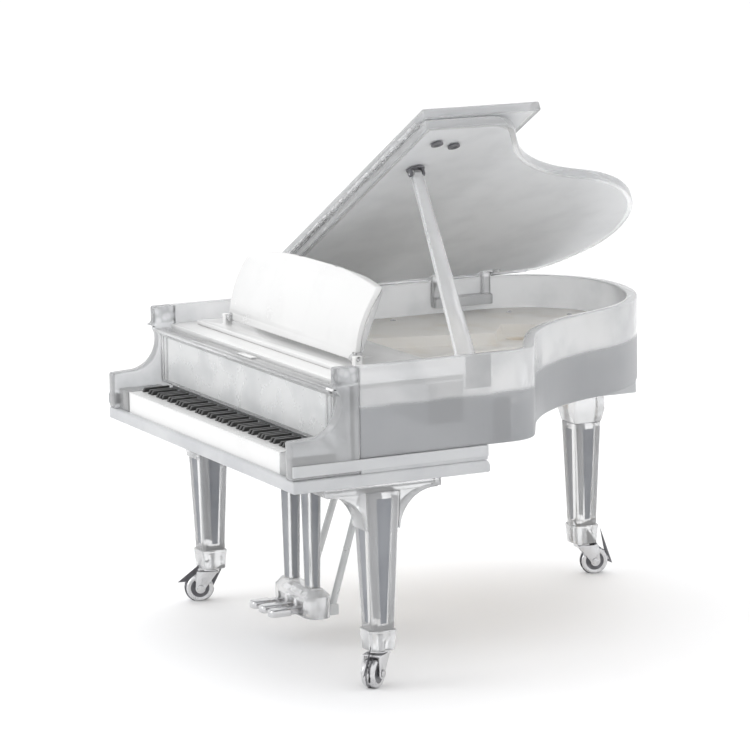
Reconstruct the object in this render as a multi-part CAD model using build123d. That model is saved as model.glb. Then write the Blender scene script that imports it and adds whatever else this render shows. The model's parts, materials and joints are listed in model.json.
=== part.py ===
from build123d import *
import os
from math import cos, radians, sin, tan

# Miniature grand piano, millimetres. Z is up from the floor, X runs from bass to treble,
# and y is measured back from the front of the keybed until everything is centred at the end.

# Case
side_x = 31.0            # half width of the case
wall = 1.6               # thickness of the outer rim
arm_depth = 10.0         # the arms end and the rim begins here
bed_z = 29.7             # top of the keybed
rim_z0 = 31.7
rim_z1 = 44.0
treble_y = 32.9          # end of the straight treble side
corner_r = 5.5
waist_run = 6.3
waist_r = 30.8
tail_r = 25.5
liner = 1.5              # thickness of the inner rim
plate_z = 37.8           # top of the iron plate
bass_plate_z = 39.1      # its higher bass side
length = 76.54           # from the keybed's front to the tail of the lid

# Keyboard
keybed_x = 31.25
keybed_y1 = 29.2
keybed_z0 = 28.0
arm_x = 28.8             # inner face of the arms
keys_x = 25.5            # half width of the 88 keys
keys_y0 = 0.9
keys_y1 = 7.2
keys_z1 = 32.6
white_count = 52
sharp_w = 0.55
sharp_y0 = 2.6
sharp_y1 = 6.7
sharp_h = 0.6

# Fallboard
fall_y = 8.05
fall_z = 34.1
fall_x = 28.65
fall_top = 40.3

# Lid
lid_t = 1.4
lid_gap = 0.25           # closed lid above the rim
lid_over = 0.95          # lid beyond the rim
lid_x = -28.9            # hinge axis of the lid
lid_z = rim_z1 + lid_gap + lid_t / 2
lid_angle = 28.8         # how far the lid stands open
fold_y = 23.25           # fold between the lid and its front flap
fold_gap = 0.36          # from the fold's axis to each panel
fold_z = rim_z1 + lid_gap + lid_t + 0.12
flap_y0 = 5.1
bracket_y = (31.5, 56.8)
ear_gap = 7.2            # between the ears of a hinge bracket
ear_t = 1.3

# Lid prop
prop_s = 46.8            # along the lid from its hinge
prop_y = 28.1
prop_drop = 0.72         # pivot below the underside of the lid
prop_len = 28.6
prop_lean = 91.67        # angle between the prop and the lid
foot_slope = 60.0        # slope of the face the prop stands on
foot_x = 27.3
foot_z = 41.6
trench_y0 = 25.9         # the hammer gap, which the prop swings through
trench_y1 = 30.3

# Music desk
desk_x = 20.4
desk_y = 14.6
desk_z = 43.05
desk_h = 10.5
desk_r = 15.0
desk_t = 0.8
deck_z = 41.4            # top of the deck behind the fallboard
tray_z = 42.0

# Legs and casters
leg_z0 = 4.8
leg_top = 5.0
leg_foot = 3.5
rear_top = (23.5, 4.6)    # the rear leg is shorter
cuff_z = 7.7
wheel_r = 2.0
wheel_w = 2.0
trail = 1.8
legs = {
    "front_left": (-27.4, 13.9, -105),
    "front_right": (27.4, 13.9, -50),
    "rear": (-14.2, 69.3, 75),
}

# Pedals
pedal_x = (-3.0, 0.0, 3.0)
lyre_y = 15.8
pedal_pivot = (14.6, 4.95)

pin_r = 0.22
hole_r = 0.26


def block(x0, x1, y0, y1, z0, z1):
    corner = (Align.MIN, Align.MIN, Align.MIN)
    return Pos(x0, y0, z0) * Box(x1 - x0, y1 - y0, z1 - z0, align=corner)


def rod(start, end, radius):
    run = Vector(*end) - Vector(*start)
    return Solid.make_cylinder(radius, run.length, Plane(origin=start, z_dir=run))


def side_face_slab(face, x0, x1):
    """A side view drawn in (y, z), as thick as x0 to x1."""
    return extrude(Plane.YZ.offset(x0) * face, amount=x1 - x0, dir=(1, 0, 0))


def side_slab(points, x0, x1):
    return side_face_slab(Polygon(*points, align=None), x0, x1)


def front_slab(points, y0, y1):
    """A front view of (x, z) points, as deep as y0 to y1."""
    face = Plane.XZ.offset(-y0) * Polygon(*points, align=None)
    return extrude(face, amount=y1 - y0, dir=(0, 1, 0))


def case_face(grow, y_front):
    """Plan of the case, grown outwards, from y_front back to the tail."""
    corner = Vector(side_x + grow, treble_y)
    edges = [Line((side_x + grow, y_front), corner)]
    steps = [
        (corner_r + grow, 60),
        (waist_run, 0),
        (waist_r - grow, -42),
        (tail_r + grow, 72),
    ]
    point = corner
    heading = 90
    for size, turn in steps:
        ahead = Vector(cos(radians(heading)), sin(radians(heading)))
        if turn == 0:
            edges.append(Line(point, point + ahead * size))
        else:
            left = Vector(-ahead.Y, ahead.X) * (size if turn > 0 else -size)
            first = heading - 90 if turn > 0 else heading + 90
            edges.append(CenterArc(point + left, size, first, turn))
        point = edges[-1] @ 1
        heading += turn
    bass_r = point.X + side_x + grow
    edges.append(CenterArc(point - Vector(0, bass_r), bass_r, 90, 90))
    bass_end = edges[-1] @ 1
    edges.append(Line(bass_end, (bass_end.X, y_front)))
    edges.append(Line((bass_end.X, y_front), (side_x + grow, y_front)))
    return make_face(edges)


def case_slab(grow, y_front, z0, z1):
    return extrude(Pos(0, 0, z0) * case_face(grow, y_front), amount=z1 - z0, dir=(0, 0, 1))


def make_rim():
    outer = case_slab(0, arm_depth, rim_z0, rim_z1)
    return outer - case_slab(-wall, arm_depth - 1, rim_z0 - 1, rim_z1 + 1)


def make_inner_rim():
    z1 = plate_z - 1.2
    outer = case_slab(-wall, trench_y1, rim_z0, z1)
    return outer - case_slab(-wall - liner, trench_y1 - 1, rim_z0 - 1, z1 + 1)


def make_arm(side):
    """A cheek: low in front of the keys, sweeping up in a cove to a small beak and the top block."""
    foot = Line((0, bed_z), (0, 34.8))
    low_top = Line(foot @ 1, (3.6, 35.0))
    cove = ThreePointArc(low_top @ 1, (6.6, 37.0), (7.1, 40.2))
    beak = Spline((7.1, 40.2), (6.75, 40.75), (6.0, 41.1))
    nose = Line((6.0, 41.1), (6.0, 41.35))
    upper = Line((6.0, 41.35), (6.75, 41.6))
    rise = Line((6.75, 41.6), (6.75, rim_z1))
    top = Line((6.75, rim_z1), (arm_depth, rim_z1))
    back = Line((arm_depth, rim_z1), (arm_depth, bed_z))
    base = Line((arm_depth, bed_z), (0, bed_z))
    face = make_face([foot, low_top, cove, beak, nose, upper, rise, top, back, base])
    x0 = arm_x if side > 0 else -side_x
    arm = side_face_slab(face, x0, x0 + side_x - arm_x)
    return arm - rod((1 - side_x, fall_y, fall_z), (side_x - 1, fall_y, fall_z), hole_r)


def make_side_ledges():
    """The sill that the rim stands on, with a thin strip along the outside."""
    ledge = block(side_x, keybed_x, 0, keybed_y1 - 0.3, 30.2, rim_z0)
    ledge += block(side_x - wall, side_x, arm_depth, keybed_y1 - 0.3, bed_z, rim_z0)
    return [ledge, mirror(ledge, Plane.YZ)]


def make_keybed():
    bed = block(-keybed_x, keybed_x, 0, keybed_y1, keybed_z0, bed_z)
    rear_top = bed.edges().filter_by(Axis.X).group_by(Axis.Y)[-1].sort_by(Axis.Z)[-1]
    return fillet(rear_top, 0.9)


def make_key_blocks():
    part = block(keys_x + 0.05, arm_x, 0.7, fall_y - 0.9, bed_z, keys_z1 + 0.1)
    return [part, mirror(part, Plane.YZ)]


def make_white_keys():
    """The white keys are one moulding with a fine groove between keys."""
    keys = block(-keys_x, keys_x, keys_y0, keys_y1, bed_z, keys_z1)
    pitch = 2 * keys_x / white_count
    grooves = []
    for i in range(1, white_count):
        x = -keys_x + pitch * i
        grooves.append(block(x - 0.05, x + 0.05, keys_y0 - 1, keys_y1 + 1, keys_z1 - 0.3, 34))
    return keys - grooves


def make_black_keys():
    """88 keys start on A, so sharps follow white keys 1, then 3, 4, 6, 7, 8 of each octave."""
    pitch = 2 * keys_x / white_count
    sharps = []
    for i in range(1, white_count):
        if (i - 1) % 7 in (1, 4):
            continue
        x = -keys_x + pitch * i
        low = [(sharp_y0, keys_z1), (sharp_y1, keys_z1), (sharp_y1, keys_z1 + sharp_h)]
        low.append((sharp_y0 + 0.35, keys_z1 + sharp_h))
        sharps.append(side_slab(low, x - sharp_w / 2, x + sharp_w / 2))
    return sharps


def make_key_strip():
    """The low rail across the back of the keys, under the fallboard's foot."""
    return block(-keys_x, keys_x, sharp_y1 + 0.05, keys_y1, keys_z1, keys_z1 + 0.2)


def make_nameboard():
    return block(-arm_x, arm_x, 9.1, arm_depth, bed_z, deck_z - 0.8)


def make_front_deck():
    """The shelf between the arms and the rim, behind the fallboard."""
    front = block(-arm_x, arm_x, 9.1, arm_depth, deck_z - 0.8, deck_z)
    inner = side_x - wall
    rear = block(-inner, inner, arm_depth, trench_y0 - 0.1, deck_z - 0.8, deck_z)
    return front + rear


def make_desk_tray():
    tray = block(-26.5, 26.5, 12.2, trench_y0 - 0.4, deck_z, tray_z)
    ears = []
    for x in (-desk_x - 1.1, desk_x + 0.1):
        ears.append(block(x, x + 1.0, desk_y - 0.6, desk_y + 0.6, tray_z, desk_z + 0.5))
    hole = rod((-25, desk_y, desk_z), (25, desk_y, desk_z), hole_r)
    return tray + ears - hole


def make_belly_rail():
    inner = side_x - wall - liner
    return block(-inner, inner, trench_y1, trench_y1 + 1.4, rim_z0, plate_z - 2.0)


def make_pin_block():
    inner = side_x - wall
    return block(-inner, inner, 20.5, trench_y0, 35.0, deck_z - 0.8)


def make_soundboard():
    z1 = plate_z - 1.2
    board = case_slab(-wall - liner, trench_y1, z1 - 0.8, z1)
    return board


def make_iron_plate():
    """Cast plate on the inner rim: a raised border and struts, a higher bass side and one rose."""
    z0 = plate_z - 1.2
    plate = case_slab(-wall, trench_y1, z0, plate_z - 0.35)
    border = case_slab(-wall, trench_y1, plate_z - 0.35, plate_z)
    border -= case_slab(-wall - 2.4, trench_y1 + 2.0, plate_z - 1, plate_z + 1)
    plate += border
    for x_front, x_rear in ((-1.5, -6.0), (9.5, 2.0)):
        strut = Polygon(
            (x_front - 0.7, trench_y1 + 1),
            (x_front + 0.7, trench_y1 + 1),
            (x_rear + 0.7, 75),
            (x_rear - 0.7, 75),
            align=None,
        )
        bar = extrude(Pos(0, 0, z0) * strut, amount=plate_z - z0 + 0.1, dir=(0, 0, 1))
        plate += bar & case_slab(-wall - 0.4, trench_y1 + 0.5, z0, 40)
    bass_side = Polygon(
        (-40, trench_y1 - 1),
        (-15.6, trench_y1 - 1),
        (-9.0, 52.0),
        (-15.5, 56.5),
        (-13.0, 60.5),
        (-4.0, 63.0),
        (8, 72),
        (8, 90),
        (-40, 90),
        align=None,
    )
    raised = extrude(Pos(0, 0, z0) * bass_side, amount=bass_plate_z - z0, dir=(0, 0, 1))
    plate += raised & case_slab(-wall, trench_y1, z0, bass_plate_z)
    return plate - rod((-11.8, 57.2, z0 - 1), (-11.8, 57.2, plate_z + 1), 1.7)


def make_case_beams():
    """Three braces under the soundboard, and the tail block that sits on the rear leg."""
    beams = []
    for x_front, x_rear, y_rear in ((-20, -17.5, 66), (-6, -14.2, 66), (9, -10.9, 66)):
        plan = Polygon(
            (x_front - 1, trench_y1 + 1.4),
            (x_front + 1, trench_y1 + 1.4),
            (x_rear + 1, y_rear),
            (x_rear - 1, y_rear),
            align=None,
        )
        beams.append(extrude(Pos(0, 0, rim_z0) * plan, amount=1.5, dir=(0, 0, 1)))
    x, y, _ = legs["rear"]
    shelf = block(x - 6, x + 6, y - 4.4, y + 9, rim_z0, rim_z0 + 1.5)
    shelf &= case_slab(-wall - liner, 40, rim_z0, rim_z0 + 1.5)
    tail = block(-40, -1.0, 64.0, 90, bed_z, rim_z0) & case_slab(-0.2, 40, bed_z, rim_z0)
    return beams[0] + beams[1] + beams[2] + shelf + tail


def make_hinge_brackets():
    """U-shaped brackets on the bass wall. The pin runs between the two ears."""
    brackets = []
    wall_x = -side_x + wall
    for y in bracket_y:
        half = ear_gap / 2 + ear_t
        seat = block(wall_x, lid_x + 1.4, y - half, y + half, lid_z - 4.9, lid_z - 3.3)
        for side in (-1, 1):
            y0 = y + side * (ear_gap + ear_t) / 2 - ear_t / 2
            ear = block(wall_x, lid_x + 0.7, y0, y0 + ear_t, lid_z - 4.9, lid_z)
            crown = rod((lid_x, y0, lid_z), (lid_x, y0 + ear_t, lid_z), 0.7)
            seat = seat + ear + crown
        bore = rod((lid_x, y - 9, lid_z), (lid_x, y + 9, lid_z), pin_r)
        brackets.append(seat - bore - make_rim())
    return brackets


def make_hinge_pins():
    half = ear_gap / 2 + ear_t
    return [rod((lid_x, y - half, lid_z), (lid_x, y + half, lid_z), pin_r) for y in bracket_y]


def make_lid_panel():
    """The main lid, closed. Its bass edge is rounded about the hinge axis."""
    z0 = lid_z - lid_t / 2
    z1 = lid_z + lid_t / 2
    y0 = fold_y + fold_gap
    panel = case_slab(lid_over, y0, z0, z1) - block(-40, lid_x, 0, 90, 40, 50)
    panel += rod((lid_x, y0, lid_z), (lid_x, 68.3, lid_z), lid_t / 2)
    for y in bracket_y:
        for side in (-1, 1):
            y_ear = y + side * (ear_gap + ear_t) / 2
            room = ear_t / 2 + 0.15
            panel -= block(lid_x - 2, lid_x + 1.1, y_ear - room, y_ear + room, 43, 47)
        panel -= rod((lid_x, y - 9, lid_z), (lid_x, y + 9, lid_z), hole_r)
    return panel


def make_lid_flap():
    """The front flap, folded back to lie on the lid."""
    z0 = 2 * fold_z - (lid_z + lid_t / 2)
    z1 = z0 + lid_t
    y0 = fold_y + fold_gap
    y1 = 2 * fold_y - flap_y0
    panel = block(lid_x, side_x + lid_over, y0, y1, z0, z1)
    edge_z = (z0 + z1) / 2
    return panel + rod((lid_x, y0, edge_z), (lid_x, y1, edge_z), lid_t / 2)


def knuckle_row(first, lid_side):
    """Every other knuckle of the piano hinge, each with a tongue into its own panel."""
    pitch = 1.5
    count = 39
    row = []
    for i in range(first, count, 2):
        x0 = lid_x + 0.8 + i * pitch
        x1 = x0 + pitch - 0.12
        barrel = rod((x0, fold_y, fold_z), (x1, fold_y, fold_z), 0.3)
        if lid_side:
            tongue = block(x0, x1, fold_y, fold_y + fold_gap, fold_z - 0.3, fold_z - 0.14)
        else:
            tongue = block(x0, x1, fold_y, fold_y + fold_gap, fold_z + 0.14, fold_z + 0.3)
        bore = 0.12 if lid_side else 0.15
        hole = rod((x0 - 1, fold_y, fold_z), (x1 + 1, fold_y, fold_z), bore)
        row.append(barrel + tongue - hole)
    return row


def make_fold_pin():
    x0 = lid_x + 0.8
    return rod((x0, fold_y, fold_z), (x0 + 39 * 1.5 - 0.12, fold_y, fold_z), 0.12)


def make_prop_cups():
    """Sockets for the prop on the underside of the lid."""
    z1 = lid_z - lid_t / 2
    cups = []
    for s, y in ((55.6, 27.4), (54.4, 30.5)):
        cup = rod((lid_x + s, y, z1 - 0.3), (lid_x + s, y, z1), 0.85)
        cups.append(cup - rod((lid_x + s, y, z1 - 1), (lid_x + s, y, z1 - 0.15), 0.45))
    return cups


def make_prop_hanger():
    """A round base with two ears, under the lid, that hold the prop's top pin."""
    z1 = lid_z - lid_t / 2
    x = lid_x + prop_s
    z = z1 - prop_drop
    hanger = []
    for side in (-1, 1):
        y0 = prop_y + side * 0.95 - 0.2
        ear = block(x - 0.42, x + 0.42, y0, y0 + 0.4, z, z1)
        ear += rod((x, y0, z), (x, y0 + 0.4, z), 0.42)
        hanger.append(ear - rod((x, y0 - 1, z), (x, y0 + 2, z), pin_r))
    base = rod((x, prop_y, z1 - 0.2), (x, prop_y, z1), 1.3)
    return hanger[0] + hanger[1] + base


def prop_pivot():
    return Vector(lid_x + prop_s, prop_y, lid_z - lid_t / 2 - prop_drop)


def make_prop_pin():
    p = prop_pivot()
    return rod((p.X, prop_y - 1.15, p.Z), (p.X, prop_y + 1.15, p.Z), pin_r)


def make_prop_stick():
    """A flat tapered bar, wide at its foot, drawn hanging straight down from its pivot."""
    p = prop_pivot()
    foot = p.Z - prop_len
    outline = [
        (prop_y - 0.6, p.Z),
        (prop_y + 0.6, p.Z),
        (prop_y + 1.45, foot),
        (prop_y + 1.3, foot - 1),
        (prop_y - 1.3, foot - 1),
        (prop_y - 1.45, foot),
    ]
    bar = side_slab(outline, p.X - 0.42, p.X + 0.42)
    bar += rod((p.X, prop_y - 0.6, p.Z), (p.X, prop_y + 0.6, p.Z), 0.45)
    bar -= rod((p.X, prop_y - 2, p.Z), (p.X, prop_y + 2, p.Z), hole_r)
    rise = tan(radians(foot_slope - lid_angle - prop_lean + 90))
    below = [
        (p.X - 1, foot - rise),
        (p.X + 1, foot + rise),
        (p.X + 1, foot - 3),
        (p.X - 1, foot - 3),
    ]
    bar -= front_slab(below, prop_y - 3, prop_y + 3)
    return Pos(p.X, 0, p.Z) * Rot(0, 90 - prop_lean, 0) * Pos(-p.X, 0, -p.Z) * bar


def make_fallboard_panel():
    board = block(-fall_x, fall_x, fall_y - 0.75, fall_y + 0.2, fall_z - 1.0, fall_top)
    for side in (-1, 1):
        x0 = side * (fall_x - 2.0)
        board -= rod((x0, fall_y, fall_z), (side * 30, fall_y, fall_z), pin_r)
    return board


def make_fallboard_lip():
    """The rail along the top of the open fallboard, with a rounded nose."""
    nose_y = fall_y - 1.4
    lip = block(-fall_x, fall_x, nose_y, fall_y + 0.55, fall_top, fall_top + 0.7)
    return fillet(lip.edges().filter_by(Axis.X).group_by(Axis.Y)[0], 0.25)


def make_lock_plate():
    z0 = fall_top + 0.7
    return block(-2.25, 2.25, fall_y - 0.5, fall_y + 0.4, z0, z0 + 0.2)


def make_fallboard_pins():
    pins = []
    for side in (-1, 1):
        x0 = side * (fall_x - 2.0)
        x1 = side * (fall_x + 1.2)
        pins.append(rod((x0, fall_y, fall_z), (x1, fall_y, fall_z), pin_r))
    return pins


def desk_section(inset):
    """The desk's curved section: upright at its foot and curling back at the top."""
    foot = (desk_y, desk_z - 0.35)
    centre = (desk_y + desk_r, desk_z - 0.35)
    angle = 46
    outer = CenterArc(centre, desk_r, 180, -angle)
    inner = CenterArc(centre, desk_r - inset, 180, -angle)
    ends = [Line(outer @ 0, inner @ 0), Line(outer @ 1, inner @ 1)]
    return make_face([outer, inner] + ends)


def rib_places():
    return [-desk_x, desk_x - 1.0]


def make_desk_panel():
    """A curved board with an arched top, notched at its foot for the ribs."""
    body = side_face_slab(desk_section(desk_t), -desk_x, desk_x)
    top = desk_z + desk_h
    arch = ThreePointArc((-desk_x, top - 1.3), (0, top), (desk_x, top - 1.3))
    sides = [
        Line((-desk_x, top - 1.3), (-desk_x, 40)),
        Line((-desk_x, 40), (desk_x, 40)),
        Line((desk_x, 40), (desk_x, top - 1.3)),
    ]
    face = make_face([arch] + sides)
    face = fillet(face.vertices().group_by(Axis.Y)[-1], 1.2)
    panel = body & extrude(Plane.XZ * face, amount=60, dir=(0, 1, 0))
    for x in rib_places():
        panel -= block(x, x + 1.0, 10, 20, desk_z - 1, desk_z + 0.75)
    return panel


def make_desk_ribs():
    """Ribs that fill the hollow behind the panel and carry its hinge pins."""
    inner = CenterArc((desk_y + desk_r, desk_z - 0.35), desk_r - desk_t, 180, -42)
    hollow = make_face([inner, Line(inner @ 1, inner @ 0)])
    ribs = []
    for x in rib_places():
        rib = side_face_slab(hollow, x, x + 1.0)
        foot = side_face_slab(desk_section(desk_t), x, x + 1.0)
        foot &= block(x, x + 1.0, 10, 20, desk_z - 1, desk_z + 0.75)
        knuckle = rod((x, desk_y, desk_z), (x + 1.0, desk_y, desk_z), 0.5)
        hole = rod((x - 2, desk_y, desk_z), (x + 3, desk_y, desk_z), pin_r)
        ribs.append(rib + foot + knuckle - hole)
    return ribs


def make_desk_pins():
    pins = []
    for side in (-1, 1):
        x0 = side * (desk_x - 1.0)
        x1 = side * (desk_x + 1.0)
        pins.append(rod((x0, desk_y, desk_z), (x1, desk_y, desk_z), pin_r))
    return pins


def bevelled(width, depth, cut):
    w = width / 2
    d = depth / 2
    corner = [(w, cut - d), (w, d - cut), (w - cut, d), (cut - w, d)]
    return Polygon(*corner, *[(-x, -y) for x, y in corner], align=None)


def taper(x, y, z0, z1, low, high, cut):
    """A tapered post with bevelled corners. Low and high are its (width, depth) at the ends."""
    ends = [Pos(x, y, z0) * bevelled(*low, cut), Pos(x, y, z1) * bevelled(*high, cut)]
    return loft(ends)


def make_leg(x, y, top_z, top):
    """A square tapered leg on a moulded cuff, bored for the caster's stem."""
    shaft = taper(x, y, cuff_z, top_z, (leg_foot,) * 2, (top,) * 2, 0.4)
    cuff = taper(x, y, leg_z0, cuff_z, (leg_foot - 0.1,) * 2, (leg_foot + 0.4,) * 2, 0.25)
    return shaft + cuff - rod((x, y, leg_z0 - 1), (x, y, leg_z0 + 2.2), 0.5)


def make_front_bracket(x, y):
    """A plate under the keybed with a curved wing in front of and behind the leg."""
    z0 = keybed_z0 - 1.3
    half = leg_top / 2 + 0.02
    reach = 8.2
    blunt = 0.2
    drop = 5.2
    tip = Line((half, z0), (reach, z0))
    end = Line(tip @ 1, (reach, z0 - blunt))
    arc = ThreePointArc(end @ 1, (half + 1.5, z0 - 1.75), (half, z0 - drop))
    root = Line(arc @ 1, (half - blunt, z0 - drop))
    side = Line(root @ 1, tip @ 0)
    wing = side_face_slab(make_face([tip, end, arc, root, side]), -2.1, 2.1)
    plate = block(-2.3, 2.3, -reach - 0.4, reach + 0.4, z0, keybed_z0)
    return Pos(x, y, 0) * (plate + wing + mirror(wing, Plane.XZ))


def make_rear_bracket(x, y):
    """The spreading capital of the rear leg and the block that joins it to the tail."""
    z0, width = rear_top
    neck = (width + 0.1,) * 2
    head = (width + 0.9,) * 2
    return taper(x, y, z0, z0 + 1.9, neck, head, 0.4) + taper(x, y, z0 + 1.9, bed_z, head, head, 0.4)


def make_lyre_head():
    return block(-6.2, 6.2, lyre_y - 2.0, lyre_y + 2.0, keybed_z0 - 1.4, keybed_z0)


def make_lyre_columns():
    columns = []
    for side in (-1, 1):
        columns.append(taper(side * 3.3, lyre_y, 8.0, keybed_z0 - 1.4, (2.3, 1.7), (3.2, 2.2), 0.3))
    return columns


def make_pedal_box():
    """A low box with domed ends and slots for the three pedals."""
    z0 = 4.0
    body = block(-4.5, 4.5, lyre_y - 1.9, lyre_y + 1.9, z0, 8.0)
    ends = []
    for side in (-1, 1):
        dome = rod((side * 4.5, lyre_y, z0), (side * 4.5, lyre_y, 8.0), 1.9)
        ends.append(dome)
    box = body + ends
    top = box.faces().sort_by(Axis.Z)[-1]
    box = chamfer(top.edges(), 0.9)
    for x in pedal_x:
        box -= block(x - 1.05, x + 1.05, lyre_y - 3, pedal_pivot[0] + 1.6, 4.2, 6.2)
    y, z = pedal_pivot
    return box - rod((-4.6, y, z), (4.6, y, z), pin_r)


def make_pedal_pin():
    y, z = pedal_pivot
    return rod((-4.6, y, z), (4.6, y, z), pin_r)


def make_pedal(x):
    """A flat lever with a broad rounded toe."""
    y, z = pedal_pivot
    toe_y = 9.2
    shank = block(x - 0.6, x + 0.6, toe_y + 2.4, y + 1.0, z - 0.45, z + 0.45)
    toe = block(x - 0.95, x + 0.95, toe_y, toe_y + 3.0, z - 0.5, z + 0.55)
    toe = fillet(toe.edges().filter_by(Axis.Z).group_by(Axis.Y)[0], 0.6)
    toe = chamfer(toe.faces().sort_by(Axis.Z)[-1].edges(), 0.2)
    return shank + toe - rod((x - 2, y, z), (x + 2, y, z), hole_r)


def make_lyre_braces():
    braces = []
    for side in (-1, 1):
        low = (side * 4.2, lyre_y + 2.6, 5.2)
        high = (side * 3.2, 26.0, keybed_z0 + 0.4)
        stay = rod(low, high, 0.5)
        foot = block(side * 4.2 - 0.6, side * 4.2 + 0.6, lyre_y + 1.9, lyre_y + 3.3, 4.0, 5.5)
        under = block(-8, 8, 10, 30, keybed_z0, 31)
        braces.append(stay - under + foot)
    return braces


def caster_frame(x, y, angle):
    """The plane of a caster: its X runs the way the wheel trails."""
    return Location((x, y, 0), (0, 0, angle))


def make_caster_fork(place):
    """A stem, a crown and two cheeks that reach down to the axle."""
    stem = rod((0, 0, 4.6), (0, 0, 6.7), 0.45)
    crown = rod((0, 0, 4.25), (0, 0, 4.7), 1.25)
    parts = stem + crown
    outer = wheel_w / 2 + 0.4
    parts += block(-0.9, trail + 0.5, -outer, outer, 4.2, 4.5)
    points = [(-0.9, 4.5), (trail + 0.5, 4.5), (trail + 0.75, 2.0), (trail - 0.75, 2.0)]
    for y0 in (-outer, outer - 0.3):
        tip = rod((trail, y0, wheel_r), (trail, y0 + 0.3, wheel_r), 0.75)
        parts += front_slab(points, y0, y0 + 0.3) + tip
    parts -= rod((trail, -3, wheel_r), (trail, 3, wheel_r), pin_r)
    return place * parts


def make_caster_wheel(place):
    """A solid roller with a groove round its middle."""
    half = wheel_w / 2
    wheel = rod((trail, -half, wheel_r), (trail, half, wheel_r), wheel_r)
    wheel = chamfer(wheel.edges().filter_by(GeomType.CIRCLE), 0.22)
    groove = rod((trail, -0.12, wheel_r), (trail, 0.12, wheel_r), wheel_r + 1)
    groove -= rod((trail, -1, wheel_r), (trail, 1, wheel_r), wheel_r - 0.16)
    return place * (wheel - groove - rod((trail, -3, wheel_r), (trail, 3, wheel_r), hole_r))


def make_caster_axle(place):
    reach = wheel_w / 2 + 0.5
    return place * rod((trail, -reach, wheel_r), (trail, reach, wheel_r), pin_r)


def make_prop_rest():
    """A sloping pad on the treble wall between two cheeks. The prop's foot stands on it."""
    wall_x = side_x - wall
    low = 39.2
    mid = 40.2
    high = 43.7
    x_mid = foot_x + 0.035 + (mid - foot_z + 0.02) / tan(radians(foot_slope))
    x_high = foot_x + 0.035 + (high - foot_z + 0.02) / tan(radians(foot_slope))
    pad = [(x_mid, mid), (x_high, high), (wall_x, high), (wall_x, low), (x_mid + 1.2, low)]
    cheek = [(26.2, 40.2), (26.9, 42.2), (28.0, high), (wall_x, high), (wall_x, low), (27.4, low)]
    rest = front_slab(pad, prop_y - 1.6, prop_y + 1.6)
    for side in (-1, 1):
        y0 = prop_y + side * 1.8 - 0.2
        rest += front_slab(cheek, y0, y0 + 0.4)
    return rest


def open_lid(shape):
    return Pos(lid_x, 0, lid_z) * Rot(0, -lid_angle, 0) * Pos(-lid_x, 0, -lid_z) * shape


def save(name, shapes, lid=False):
    """Writes one node, centred front to back on the origin."""
    if not isinstance(shapes, list):
        shapes = [shapes]
    solids = []
    for shape in shapes:
        solids += shape.solids()
    if lid:
        solids = [open_lid(s) for s in solids]
    solids = [Pos(0, -length / 2, 0) * s for s in solids]
    whole = solids[0] if len(solids) == 1 else Compound(children=solids)
    export_step(whole, f"parts/{name}.step")


def main():
    os.makedirs("parts", exist_ok=True)
    save("rim", make_rim())
    save("inner_rim", make_inner_rim())
    save("arm_left", make_arm(-1))
    save("arm_right", make_arm(1))
    save("side_ledges", make_side_ledges())
    save("keybed", make_keybed())
    save("key_blocks", make_key_blocks())
    save("white_keys", make_white_keys())
    save("black_keys", make_black_keys())
    save("key_strip", make_key_strip())
    save("nameboard", make_nameboard())
    save("front_deck", make_front_deck())
    save("desk_tray", make_desk_tray())
    save("pin_block", make_pin_block())
    save("belly_rail", make_belly_rail())
    save("soundboard", make_soundboard())
    save("iron_plate", make_iron_plate())
    save("case_beams", make_case_beams())
    save("hinge_brackets", make_hinge_brackets())
    save("hinge_pins", make_hinge_pins())
    save("prop_rest", make_prop_rest())
    save("lid_panel", make_lid_panel(), lid=True)
    save("lid_flap", make_lid_flap(), lid=True)
    save("lid_knuckles", knuckle_row(0, True), lid=True)
    save("flap_knuckles", knuckle_row(1, False), lid=True)
    save("fold_pin", make_fold_pin(), lid=True)
    save("prop_cups", make_prop_cups(), lid=True)
    save("prop_hanger", make_prop_hanger(), lid=True)
    save("prop_pin", make_prop_pin(), lid=True)
    save("prop_stick", make_prop_stick(), lid=True)
    save("fallboard_panel", make_fallboard_panel())
    save("fallboard_lip", make_fallboard_lip())
    save("fallboard_pins", make_fallboard_pins())
    save("lock_plate", make_lock_plate())
    save("desk_panel", make_desk_panel())
    save("desk_ribs", make_desk_ribs())
    save("desk_pins", make_desk_pins())
    save("lyre_head", make_lyre_head())
    save("lyre_columns", make_lyre_columns())
    save("lyre_braces", make_lyre_braces())
    save("pedal_box", make_pedal_box())
    save("pedal_pin", make_pedal_pin())
    for name, x in zip(("left", "middle", "right"), pedal_x):
        save(f"pedal_{name}", make_pedal(x))
    for name, (x, y, angle) in legs.items():
        place = caster_frame(x, y, angle)
        if name == "rear":
            leg = make_leg(x, y, *rear_top)
            bracket = make_rear_bracket(x, y)
        else:
            leg = make_leg(x, y, keybed_z0 - 1.3, leg_top)
            bracket = make_front_bracket(x, y)
        save(f"leg_{name}", leg)
        save(f"leg_bracket_{name}", bracket)
        save(f"caster_fork_{name}", make_caster_fork(place))
        save(f"caster_wheel_{name}", make_caster_wheel(place))
        save(f"caster_axle_{name}", make_caster_axle(place))


main()
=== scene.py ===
import json
import math

import bmesh
import bpy
from mathutils import Matrix, Vector
from mathutils.bvhtree import BVHTree


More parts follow.
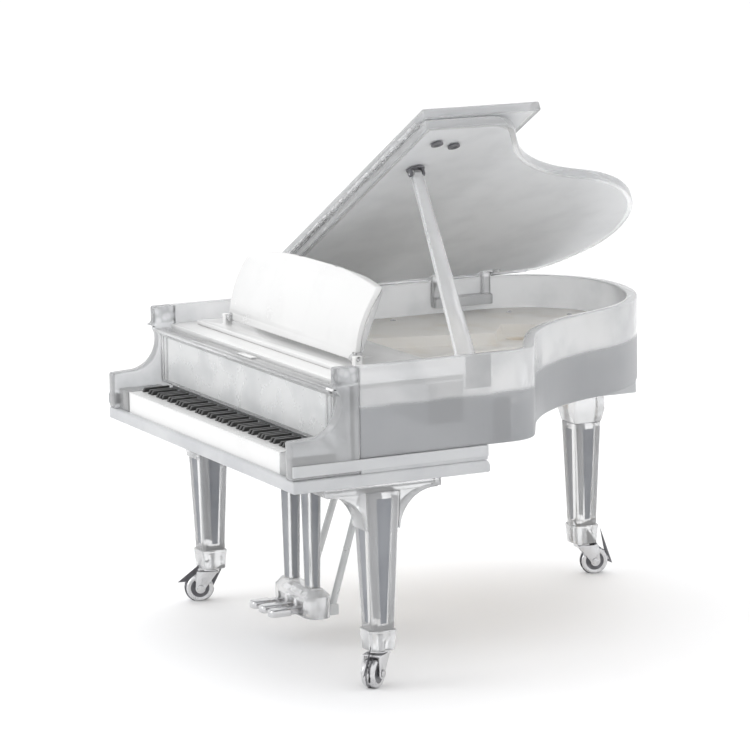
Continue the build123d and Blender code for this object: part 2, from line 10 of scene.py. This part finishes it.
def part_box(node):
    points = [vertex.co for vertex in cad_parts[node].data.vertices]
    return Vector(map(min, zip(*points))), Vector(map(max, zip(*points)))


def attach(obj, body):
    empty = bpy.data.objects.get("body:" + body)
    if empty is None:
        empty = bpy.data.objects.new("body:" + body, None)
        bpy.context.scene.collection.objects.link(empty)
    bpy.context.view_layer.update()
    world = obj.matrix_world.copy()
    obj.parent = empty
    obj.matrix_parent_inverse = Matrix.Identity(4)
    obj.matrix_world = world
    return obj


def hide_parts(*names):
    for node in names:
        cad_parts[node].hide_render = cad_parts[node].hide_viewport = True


# Miniature grand piano in clear plastic. Its parts are copied from the frame, get rounded edges
# and sunk panels, and take their finishes from the recipes below. Sizes are in millimetres.

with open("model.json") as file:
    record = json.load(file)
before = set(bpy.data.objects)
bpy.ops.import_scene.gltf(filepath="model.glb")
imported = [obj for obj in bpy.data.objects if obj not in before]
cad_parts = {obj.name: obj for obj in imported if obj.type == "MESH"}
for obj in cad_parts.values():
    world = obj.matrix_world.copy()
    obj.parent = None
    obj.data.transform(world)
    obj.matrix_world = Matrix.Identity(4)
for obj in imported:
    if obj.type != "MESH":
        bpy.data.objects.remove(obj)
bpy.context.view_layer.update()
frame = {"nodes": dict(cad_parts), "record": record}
nodes = frame["nodes"]
record = frame["record"]
bodies = record["behaviour"]["bodies"]
bodyOfNode = {node: body for body, members in bodies.items() for node in members}
slotOfNode = {part["node"]: part["material_slot"] for part in record["subparts"]}
jointOfBody = {joint["child"]: joint for joint in record["behaviour"]["joints"]}
mm = 0.001
print("frame loaded:", len(nodes), "nodes")


# shader wiring: one socket with maths on it

def colour(value):
    # three numbers become a socket's colour, and a Wire stays as it is
    return value if isinstance(value, Wire) else (*value, 1.0)


class Wire:
    def __init__(self, tree, socket=None):
        self.tree = tree
        self.socket = socket

    def node(self, kind, settings, inputs, output=0):
        made = self.tree.nodes.new(kind)
        for name, value in settings.items():
            setattr(made, name, value)
        for name, value in inputs.items():
            if isinstance(value, Wire):
                self.tree.links.new(value.socket, made.inputs[name])
            else:
                made.inputs[name].default_value = value
        return None if output is None else Wire(self.tree, made.outputs[output])

    def feed(self, kind):
        # self becomes the surface of the material or of the world
        self.node(kind, {}, {"Surface": self}, None)

    def maths(self, operation, *values):
        return self.node("ShaderNodeMath", {"operation": operation}, dict(enumerate(values)))

    def __add__(self, other):
        return self.maths("ADD", self, other)

    def __rsub__(self, other):
        return self.maths("SUBTRACT", other, self)

    def __mul__(self, other):
        return self.maths("MULTIPLY", self, other)

    __radd__ = __add__

    def clamped(self, low, high):
        # 0 below low, 1 above high, smooth between
        limits = {"Value": self, "From Min": low, "From Max": high}
        return self.node("ShaderNodeMapRange", {"interpolation_type": "SMOOTHSTEP"}, limits)

    def blend(self, first, second):
        # self is the share of the second colour
        colours = {0: self, 6: colour(first), 7: colour(second)}
        return self.node("ShaderNodeMix", {"data_type": "RGBA"}, colours, 2)

    def noise(self, place, size, detail=3.0):
        # size is the width of a patch in millimetres
        inputs = {"Vector": place, "Scale": 1 / size, "Detail": detail}
        return self.node("ShaderNodeTexNoise", {}, inputs)

    def bump(self, height, depth):
        # depth in millimetres
        inputs = {"Height": height, "Distance": depth * mm, "Strength": 1.0}
        return self.node("ShaderNodeBump", {}, inputs)


def startLook(name):
    material = bpy.data.materials.new(name)
    material.use_nodes = True
    material.node_tree.nodes.clear()
    wire = Wire(material.node_tree)
    spot = wire.node("ShaderNodeTexCoord", {}, {}, "Object")
    place = wire.node("ShaderNodeVectorMath", {"operation": "SCALE"}, {0: spot, "Scale": 1 / mm})
    return material, wire, place


def stretched(place, scale):
    return place.node("ShaderNodeVectorMath", {"operation": "MULTIPLY"}, {0: place, 1: scale})


def heightOf(place):
    return place.node("ShaderNodeSeparateXYZ", {}, {"Vector": place}, "Z")


def finishLook(material, wire, inputs):
    wire.node("ShaderNodeBsdfPrincipled", {}, inputs).feed("ShaderNodeOutputMaterial")
    return material


acrylic = {
    "clear": {
        "tint": (0.97, 0.975, 0.98), "haze": (0.90, 0.905, 0.91),
        "rough": 0.05, "vary": 0.08, "through": 0.72,
    },
    "frost": {
        "tint": (0.74, 0.75, 0.76), "haze": (0.66, 0.67, 0.69),
        "rough": 0.38, "vary": 0.16, "through": 0.30,
    },
    # dark tint painted as the shade seen in the middle of the clear legs' and columns' faces
    "core": {
        "tint": (0.25, 0.26, 0.28), "haze": (0.19, 0.20, 0.22),
        "rough": 0.30, "vary": 0.14, "through": 0.08,
    },
    "lidField": {
        "tint": (0.83, 0.84, 0.85), "haze": (0.77, 0.78, 0.79),
        "rough": 0.34, "vary": 0.12, "through": 0.30,
    },
    "pale": {
        "tint": (0.96, 0.96, 0.96), "haze": (0.90, 0.90, 0.91),
        "rough": 0.20, "vary": 0.10, "through": 0.25,
    },
    "board": {
        "tint": (0.78, 0.79, 0.79), "haze": (0.64, 0.655, 0.66),
        "rough": 0.22, "vary": 0.12, "through": 0.25,
    },
    "refraction": 1.49,
    "patch": 6.0,              # size of the hazy patches
    "patchShare": (0.35, 0.75),
    "grain": 0.22,             # size of the fine surface grain
    "grainRough": 0.05,
    "grainHeight": 0.25,
    "wave": 0.012,             # depth of the moulding's waviness
}


def makeAcrylic(kind):
    recipe = acrylic[kind]
    material, wire, place = startLook(f"{kind}Acrylic")
    haze = wire.noise(place, acrylic["patch"], 4.0)
    grain = wire.noise(place, acrylic["grain"], 2.0)
    share = haze.clamped(*acrylic["patchShare"])
    rough = share * recipe["vary"] + grain * acrylic["grainRough"] + recipe["rough"]
    return finishLook(material, wire, {
        "Base Color": share.blend(recipe["tint"], recipe["haze"]),
        "Roughness": rough,
        "Normal": wire.bump(haze + grain * acrylic["grainHeight"], acrylic["wave"]),
        "IOR": acrylic["refraction"],
        "Transmission Weight": recipe["through"],
    })


rimFinish = {
    "frostAndShadeTop": 38.6,          # frosted and painted darker as shade below this height, polished above it
    "fade": 0.8,
    # low is the lower band's tint, darker as painted shade
    "low": (0.53, 0.54, 0.555),
    "high": (0.92, 0.925, 0.93),
    "shade": (0.46, 0.475, 0.50),
    "shadeShare": 0.35,
    "shadeFrom": (0.4, 0.8),
    "roughLow": 0.30,          # added to the polished roughness
    "roughHigh": 0.04,
    "through": 0.5,
    "sawMarks": 0.5,           # spacing of the faint upright marks
    "sawStretch": (1.0, 1.0, 0.08),
    "sawRough": 0.08,
    "sawDepth": 0.012,
}


def makeRimLook():
    material, wire, place = startLook("rimAcrylic")
    marks = wire.noise(stretched(place, rimFinish["sawStretch"]), rimFinish["sawMarks"], 2.0)
    cloud = wire.noise(place, acrylic["patch"], 4.0)
    edge = heightOf(place) + cloud * rimFinish["fade"]
    polishedUnshaded = edge.clamped(rimFinish["frostAndShadeTop"], rimFinish["frostAndShadeTop"] + rimFinish["fade"])
    # the darker low tint below the height is painted shade, the light high tint sits above it
    tint = polishedUnshaded.blend(rimFinish["low"], rimFinish["high"])
    shadow = cloud.clamped(*rimFinish["shadeFrom"]) * rimFinish["shadeShare"]
    rough = (1 - polishedUnshaded) * rimFinish["roughLow"] + marks * rimFinish["sawRough"]
    return finishLook(material, wire, {
        "Base Color": shadow.blend(tint, rimFinish["shade"]),
        "Roughness": rough + rimFinish["roughHigh"],
        "Normal": wire.bump(marks * (1.2 - polishedUnshaded), rimFinish["sawDepth"]),
        "IOR": acrylic["refraction"],
        "Transmission Weight": rimFinish["through"],
    })


armFinish = {
    "light": (0.84, 0.85, 0.86),
    "dark": (0.42, 0.43, 0.44),
    "cloudFrom": (0.35, 0.8),
    "cloudShare": 0.5,
    "facetSize": 1.1,
    "facetStart": (41.5, 41.9),  # the top block's facets fade in between these heights
    "facetFrom": (0.25, 0.7),
    "facetShare": 0.6,
    "facetDepth": 0.10,
    "rough": 0.12,
    "vary": 0.14,
    "through": 0.65,
}


def makeArmLook():
    material, wire, place = startLook("armAcrylic")
    above = heightOf(place).clamped(*armFinish["facetStart"])
    cells = {"Vector": place, "Scale": 1 / armFinish["facetSize"]}
    facets = wire.node("ShaderNodeTexVoronoi", {}, cells, "Distance")
    cloud = wire.noise(place, acrylic["patch"], 4.0)
    dim = cloud.clamped(*armFinish["cloudFrom"]) * armFinish["cloudShare"]
    glint = facets.clamped(*armFinish["facetFrom"]) * above * armFinish["facetShare"]
    return finishLook(material, wire, {
        "Base Color": (dim + glint).blend(armFinish["light"], armFinish["dark"]),
        "Roughness": armFinish["rough"] + cloud * armFinish["vary"],
        "Normal": wire.bump(facets * above + cloud * 0.1, armFinish["facetDepth"]),
        "IOR": acrylic["refraction"],
        "Transmission Weight": armFinish["through"],
    })


plain = {
    "whiteGloss": {
        "tint": (0.73, 0.73, 0.725), "worn": (0.69, 0.69, 0.685),
        "rough": 0.16, "vary": 0.12, "patch": 5.0,
    },
    "darkKey": {
        "tint": (0.012, 0.012, 0.012), "worn": (0.04, 0.038, 0.036),
        "rough": 0.25, "vary": 0.25, "patch": 1.4,
    },
    "cream": {
        "tint": (0.92, 0.90, 0.86), "worn": (0.87, 0.83, 0.76),
        "rough": 0.34, "vary": 0.20, "patch": 4.0,
    },
    "smoke": {
        "tint": (0.10, 0.10, 0.11), "worn": (0.22, 0.22, 0.24),
        "rough": 0.22, "vary": 0.2, "patch": 1.0,
    },
    "wornFrom": (0.45, 0.8),
    "grain": 0.15,
    "grainRough": 0.06,
    "grainHeight": 0.3,
    "depth": 0.01,
    "coat": 0.25,
    "coatRough": 0.12,
}


def makePlain(kind):
    recipe = plain[kind]
    material, wire, place = startLook(kind)
    cloud = wire.noise(place, recipe["patch"], 5.0)
    grain = wire.noise(place, plain["grain"], 2.0)
    share = cloud.clamped(*plain["wornFrom"])
    rough = cloud * recipe["vary"] + grain * plain["grainRough"] + recipe["rough"]
    return finishLook(material, wire, {
        "Base Color": share.blend(recipe["tint"], recipe["worn"]),
        "Roughness": rough,
        "Normal": wire.bump(cloud + grain * plain["grainHeight"], plain["depth"]),
        "Coat Weight": plain["coat"],
        "Coat Roughness": plain["coatRough"],
    })


silverPaint = {
    "bright": (0.66, 0.66, 0.67),
    "dull": (0.40, 0.40, 0.41),
    "rubbed": 1.6,             # size of the rubbed patches
    "rubbedFrom": (0.52, 0.82),
    "flake": 0.10,             # size of the paint's flakes
    "rough": 0.14,
    "dullRough": 0.22,
    "flakeRough": 0.12,
    "metal": 0.95,
    "dullMetal": 0.3,
    "depth": 0.008,
}


def makeSilver():
    material, wire, place = startLook("silverPaint")
    wear = wire.noise(place, silverPaint["rubbed"], 5.0)
    flake = wire.noise(place, silverPaint["flake"], 1.0)
    share = wear.clamped(*silverPaint["rubbedFrom"])
    rough = share * silverPaint["dullRough"] + flake * silverPaint["flakeRough"]
    return finishLook(material, wire, {
        "Base Color": share.blend(silverPaint["bright"], silverPaint["dull"]),
        "Roughness": rough + silverPaint["rough"],
        "Metallic": silverPaint["metal"] - share * silverPaint["dullMetal"],
        "Normal": wire.bump(wear * 0.3 + flake * 0.2, silverPaint["depth"]),
    })


woodTone = {
    "light": (0.78, 0.60, 0.34),
    "dark": (0.58, 0.40, 0.20),
    "ring": 0.9,               # width of a growth ring
    "ringFrom": (0.4, 0.62),
    "alongGrain": (1.0, 0.06, 1.0),
    "rough": 0.35,
    "vary": 0.25,
    "depth": 0.02,
}


def makeSpruce():
    material, wire, place = startLook("spruceBoard")
    rings = wire.noise(stretched(place, woodTone["alongGrain"]), woodTone["ring"], 6.0)
    share = rings.clamped(*woodTone["ringFrom"])
    return finishLook(material, wire, {
        "Base Color": share.blend(woodTone["light"], woodTone["dark"]),
        "Roughness": woodTone["rough"] + rings * woodTone["vary"],
        "Normal": wire.bump(rings, woodTone["depth"]),
    })


looks = {
    "clear_shell": makeAcrylic("clear"),
    "frosted_shell": makeAcrylic("frost"),
    "white_gloss": makePlain("whiteGloss"),
    "dark_key": makePlain("darkKey"),
    "cream": makePlain("cream"),
    "tan": makeSpruce(),
    "smoke": makePlain("smoke"),
    "silver": makeSilver(),
    "core": makeAcrylic("core"),
    "lidField": makeAcrylic("lidField"),
    "pale": makeAcrylic("pale"),
    "board": makeAcrylic("board"),
    "rim": makeRimLook(),
    "arm": makeArmLook(),
}
print("finishes made:", len(looks))


# helpers for the pieces

rounding = {
    "merge": 0.000002,
    "flatAngle": 0.6,          # faces closer than this many degrees become one
    "sharpAngle": 38.0,        # edges sharper than this are rounded
    "shadeAngle": 40.0,        # edges sharper than this stay crisp
    "steps": 2,
    "facing": 0.985,           # how closely a face has to look along a direction
}


def copyNode(node):
    bm = bmesh.new()
    bm.from_mesh(nodes[node].data)
    bmesh.ops.remove_doubles(bm, verts=bm.verts[:], dist=rounding["merge"])
    flat = math.radians(rounding["flatAngle"])
    bmesh.ops.dissolve_limit(bm, angle_limit=flat, verts=bm.verts[:], edges=bm.edges[:])
    bm.normal_update()
    return bm


def roundEdges(bm, width):
    sharp = math.radians(rounding["sharpAngle"])
    paired = [edge for edge in bm.edges if len(edge.link_faces) == 2]
    bmesh.ops.bevel(
        bm, geom=[edge for edge in paired if edge.calc_face_angle() > sharp],
        offset=width * mm, offset_type="OFFSET", segments=rounding["steps"],
        profile=0.5, affect="EDGES", clamp_overlap=False, material=-1,
    )


def sinkPanel(bm, faces, recipe, index):
    # an inset field, sunk below its frame, in the piece's material number index
    bmesh.ops.inset_region(
        bm, faces=faces, thickness=recipe["margin"] * mm, depth=-recipe["depth"] * mm,
        use_even_offset=True,
    )
    for face in faces:
        face.material_index = index


def placeObject(name, bm, finishes):
    mesh = bpy.data.meshes.new(name)
    bm.to_mesh(mesh)
    bm.free()
    for finish in finishes:
        mesh.materials.append(finish)
    thing = bpy.data.objects.new(name, mesh)
    bpy.context.scene.collection.objects.link(thing)
    return thing


def finishPiece(bm, name, body, finishes, replaced=()):
    piece = placeObject(name, bm, finishes)
    piece.data.shade_smooth()
    piece.data.set_sharp_from_angle(angle=math.radians(rounding["shadeAngle"]))
    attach(piece, body)
    if replaced:
        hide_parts(*replaced)


def pieceName(node):
    first, *others = node.split("_")
    return first + "".join(word.capitalize() for word in others) + "Moulding"


def finishNode(bm, node, finishes):
    finishPiece(bm, pieceName(node), bodyOfNode[node], finishes, (node,))


def facesTowards(bm, direction, smallest):
    # faces that look along direction, bigger than smallest square millimetres
    aim = Vector(direction).normalized()
    facing = [face for face in bm.faces if face.normal.dot(aim) > rounding["facing"]]
    return [face for face in facing if face.calc_area() > smallest * mm * mm]


def makePanelled(node, directions, recipe, finishes):
    # a node with a sunk field on its broad faces
    bm = copyNode(node)
    for direction in directions:
        broad = facesTowards(bm, direction, recipe["smallest"])
        if broad:
            sinkPanel(bm, broad, recipe, 1)
    bm.normal_update()
    roundEdges(bm, recipe["round"])
    finishNode(bm, node, [looks[finish] for finish in finishes])


# parts that only need soft edges

edgeWidths = {
    "arm_left": 0.28, "arm_right": 0.28, "keybed": 0.30, "side_ledges": 0.08, "key_blocks": 0.15,
    "key_strip": 0.12, "nameboard": 0.08, "front_deck": 0.10, "desk_tray": 0.16,
    "fallboard_lip": 0.12, "lock_plate": 0.06, "belly_rail": 0.12, "pin_block": 0.12,
    "desk_ribs": 0.04, "lyre_head": 0.20, "pedal_box": 0.06,
    "hinge_brackets": 0.20, "prop_rest": 0.10, "prop_hanger": 0.06, "prop_cups": 0.06,
    "leg_bracket_front_left": 0.07, "leg_bracket_front_right": 0.07, "leg_bracket_rear": 0.22,
    "pedal_left": 0.12, "pedal_middle": 0.12, "pedal_right": 0.12, "black_keys": 0.05,
    "rim": 0.22, "desk_panel": 0.16, "lyre_braces": 0.05,
    "caster_fork_front_left": 0.05, "caster_fork_front_right": 0.05, "caster_fork_rear": 0.05,
}
ownLooks = {
    "rim": "rim", "arm_left": "arm", "arm_right": "arm",
    "lyre_braces": "board", "prop_rest": "pale",
}


def softenNodes():
    for node, width in edgeWidths.items():
        bm = copyNode(node)
        roundEdges(bm, width)
        finishNode(bm, node, [looks[ownLooks.get(node, slotOfNode[node])]])


softenNodes()
print("soft edged parts:", len(edgeWidths))


# legs and lyre columns: dark sunk fields painted as shade behind rounded clear corners

legShadeField = {"margin": 0.95, "depth": 0.10, "round": 0.18, "smallest": 20.0}
columnShadeField = {"margin": 0.26, "depth": 0.08, "round": 0.12, "smallest": 15.0}


def makePosts():
    sides = ((1, 0, 0), (-1, 0, 0), (0, 1, 0), (0, -1, 0))
    for node in ("leg_front_left", "leg_front_right", "leg_rear"):
        # the sunk fields take the dark tint as painted shade
        makePanelled(node, sides, legShadeField, ("clear_shell", "core"))
    makePanelled("lyre_columns", sides, columnShadeField, ("clear_shell", "core"))


makePosts()
print("legs and columns made")


# lid: clear edges round a frosted underside

lidField = {"margin": 0.85, "depth": 0.12, "round": 0.28, "smallest": 300.0}


def makeLid():
    axis = Vector(jointOfBody["lid"]["axis"])
    angle = math.radians(-jointOfBody["lid"]["range_deg"][0])
    underside = Matrix.Rotation(angle, 3, axis) @ Vector((0, 0, -1))
    for node in ("lid_panel", "lid_flap"):
        makePanelled(node, (underside, -underside), lidField, ("clear_shell", "lidField"))


makeLid()
print("lid made")


# prop stick with raised edges

propFace = {"margin": 0.28, "depth": 0.14, "round": 0.07}


def makeProp():
    bm = copyNode("prop_stick")
    for face in sorted(bm.faces, key=lambda face: -face.calc_area())[:2]:
        sinkPanel(bm, [face], propFace, 0)
    bm.normal_update()
    roundEdges(bm, propFace["round"])
    finishNode(bm, "prop_stick", [looks["clear_shell"]])


makeProp()
print("prop made")


# fallboard: a grey field with upright strips at its ends

fallboard = {"margin": 0.5, "depth": 0.08, "round": 0.10, "smallest": 80.0}
fallboardStrip = {
    "insets": (1.0, 2.2),      # from the panel's end to the strip's middle
    "width": 0.5,
    "thickness": 0.22,
    "shorter": 0.8,            # than the panel is high
    "proud": 0.02,
    "round": 0.06,
}


def makeFallboardStrips():
    low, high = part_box("fallboard_panel")
    width, thickness = fallboardStrip["width"] * mm, fallboardStrip["thickness"] * mm
    size = (width, thickness, high[2] - low[2] - fallboardStrip["shorter"] * mm)
    bm = bmesh.new()
    for side in (-1, 1):
        for inset in fallboardStrip["insets"]:
            x = side * (high[0] - inset * mm)
            y = low[1] + fallboardStrip["proud"] * mm
            place = Matrix.Translation((x, y, (low[2] + high[2]) / 2))
            bmesh.ops.create_cube(bm, size=1.0, matrix=place @ Matrix.Diagonal((*size, 1.0)))
    roundEdges(bm, fallboardStrip["round"])
    finishPiece(bm, "fallboardStrips", "fallboard", [looks["clear_shell"]])


makePanelled("fallboard_panel", ((0, -1, 0),), fallboard, ("clear_shell", "board"))
makeFallboardStrips()
print("fallboard made")


# iron plate: soft edges, bolts round the border

plateEdge = 0.12
plateBolts = {
    "radius": 0.42,
    "flatten": 0.55,
    "places": [
        (-26.8, -4.0), (-26.8, 6.0), (-26.8, 16.0), (-24.5, 24.5), (-17.5, 31.0), (-9.0, 30.0),
        (-3.0, 22.5), (1.5, 14.5), (8.5, 8.0), (17.0, 5.0), (24.5, 0.0), (26.8, -5.5),
        (-18.0, -6.6), (-9.0, -6.6), (0.0, -6.6), (9.0, -6.6), (18.0, -6.6),
    ],
}


def makePlate():
    bm = copyNode("iron_plate")
    roundEdges(bm, plateEdge)
    finishNode(bm, "iron_plate", [looks["cream"]])


def makePlateBolts():
    mesh = nodes["iron_plate"].data
    corners = [vertex.co for vertex in mesh.vertices]
    surface = BVHTree.FromPolygons(corners, [face.vertices for face in mesh.polygons])
    bm = bmesh.new()
    for x, y in plateBolts["places"]:
        seat = surface.ray_cast(Vector((x * mm, y * mm, 1.0)), Vector((0, 0, -1)))[0]
        if seat is None:
            continue           # no plate under this bolt
        shape = Matrix.Translation(seat) @ Matrix.Diagonal((1.0, 1.0, plateBolts["flatten"], 1.0))
        bmesh.ops.create_uvsphere(
            bm, u_segments=12, v_segments=6, radius=plateBolts["radius"] * mm, matrix=shape,
        )
    finishPiece(bm, "plateBolts", "case", [looks["silver"]])


makePlate()
makePlateBolts()
print("plate made")


# caster wheels with painted shade in a dark sunk ring on each side, and nuts on the ends of their
# axles

casterSpots = ("front_left", "front_right", "rear")
wheelShadeRing = {"margin": 0.38, "depth": 0.14, "round": 0.05, "smallest": 1.0}
casterNut = {"radius": 0.52, "length": 0.2, "outside": 1.42, "sides": 20, "round": 0.05}


def wheelAxis(spot):
    return Vector(jointOfBody[f"wheel_{spot}"]["axis"])


def makeWheel(spot):
    sides = (wheelAxis(spot), -wheelAxis(spot))
    # the sunk rings take the dark smoke finish as painted shade
    makePanelled(f"caster_wheel_{spot}", sides, wheelShadeRing, ("silver", "smoke"))


def makeCasterNuts(spot):
    axis = wheelAxis(spot)
    low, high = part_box(f"caster_wheel_{spot}")
    centre = (Vector(low) + Vector(high)) / 2
    turn = axis.to_track_quat("Z", "Y").to_matrix().to_4x4()
    radius = casterNut["radius"] * mm
    bm = bmesh.new()
    for side in (-1, 1):
        middle = centre + axis * side * (casterNut["outside"] + casterNut["length"] / 2) * mm
        bmesh.ops.create_cone(
            bm, cap_ends=True, segments=casterNut["sides"], radius1=radius, radius2=radius,
            depth=casterNut["length"] * mm, matrix=Matrix.Translation(middle) @ turn,
        )
    roundEdges(bm, casterNut["round"])
    name = "casterNuts" + spot.title().replace("_", "")
    finishPiece(bm, name, f"caster_{spot}", [looks["silver"]])


for spot in casterSpots:
    makeWheel(spot)
print("wheels made")
for spot in casterSpots:
    makeCasterNuts(spot)
print("caster nuts made")


# the frame's own nodes that stay take their slot's finish

def dressNodes():
    dressed = 0
    for node, thing in nodes.items():
        if thing.hide_render:
            continue
        finish = looks[slotOfNode[node]]
        if not thing.material_slots:
            thing.data.materials.append(finish)
        for place in thing.material_slots:
            place.material = finish
        dressed += 1
    return dressed


print("frame nodes dressed:", dressNodes())


# floor, light and camera

studio = {
    "floorSize": 6.0,
    "floorTint": (0.95, 0.95, 0.95),
    "fibreTint": (0.85, 0.85, 0.85),
    "fibreShare": 0.03,
    "floorRough": 0.7,
    "skyTop": (1.12, 1.12, 1.13),
    "skyEdge": (0.98, 0.985, 0.99),
    "skyRise": (0.0, 0.75),    # the sky goes from edge to top between these heights
    "sky": 1.0,
    "lookAt": (0, 0, 0.03),
    "lights": [
        {"name": "softTop", "place": (-0.25, 0.10, 0.60), "size": 0.50, "watts": 0.7},
        {"name": "softFront", "place": (-0.20, -0.60, 0.30), "size": 0.40, "watts": 1.1},
    ],
}
cameraSpot = {
    "place": (434.46, -227.75, 123.54),
    "yaw": 63.438,
    "pitch": 10.159,
    "roll": -0.859,
    "lens": 168.41,
    "sensor": 36.0,
    "nearest": 0.01,
}


def makeFloor():
    bm = bmesh.new()
    bmesh.ops.create_grid(bm, x_segments=1, y_segments=1, size=studio["floorSize"] / 2)
    material, wire, place = startLook("floorPaper")
    fibre = wire.noise(place, 2.0, 3.0) * studio["fibreShare"]
    tint = fibre.blend(studio["floorTint"], studio["fibreTint"])
    finishLook(material, wire, {"Base Color": tint, "Roughness": studio["floorRough"]})
    placeObject("studioFloor", bm, [material])


def makeSky():
    world = bpy.data.worlds.new("studioWorld")
    bpy.context.scene.world = world
    world.use_nodes = True
    world.node_tree.nodes.clear()
    wire = Wire(world.node_tree)
    ray = wire.node("ShaderNodeTexCoord", {}, {}, "Generated")
    glow = heightOf(ray).clamped(*studio["skyRise"]).blend(studio["skyEdge"], studio["skyTop"])
    background = {"Color": glow, "Strength": studio["sky"]}
    wire.node("ShaderNodeBackground", {}, background).feed("ShaderNodeOutputWorld")


def makeLights():
    for recipe in studio["lights"]:
        lamp = bpy.data.lights.new(recipe["name"], "AREA")
        lamp.size = recipe["size"]
        lamp.energy = recipe["watts"]
        light = bpy.data.objects.new(recipe["name"], lamp)
        light.location = recipe["place"]
        aim = Vector(studio["lookAt"]) - light.location
        light.rotation_euler = aim.to_track_quat("-Z", "Y").to_euler()
        bpy.context.scene.collection.objects.link(light)


def turned(degrees, axis):
    return Matrix.Rotation(math.radians(degrees), 3, axis)


def makeCamera():
    data = bpy.data.cameras.new("studioCamera")
    data.lens = cameraSpot["lens"]
    data.sensor_width = cameraSpot["sensor"]
    data.clip_start = cameraSpot["nearest"]
    camera = bpy.data.objects.new("studioCamera", data)
    camera.location = Vector(cameraSpot["place"]) * mm
    aim = turned(cameraSpot["yaw"], "Z") @ turned(90 - cameraSpot["pitch"], "X")
    camera.rotation_euler = (aim @ turned(cameraSpot["roll"], "Z")).to_euler()
    bpy.context.scene.collection.objects.link(camera)
    bpy.context.scene.camera = camera


makeFloor()
makeSky()
makeLights()
makeCamera()
bpy.context.scene.view_settings.view_transform = "Standard"
print("studio made")
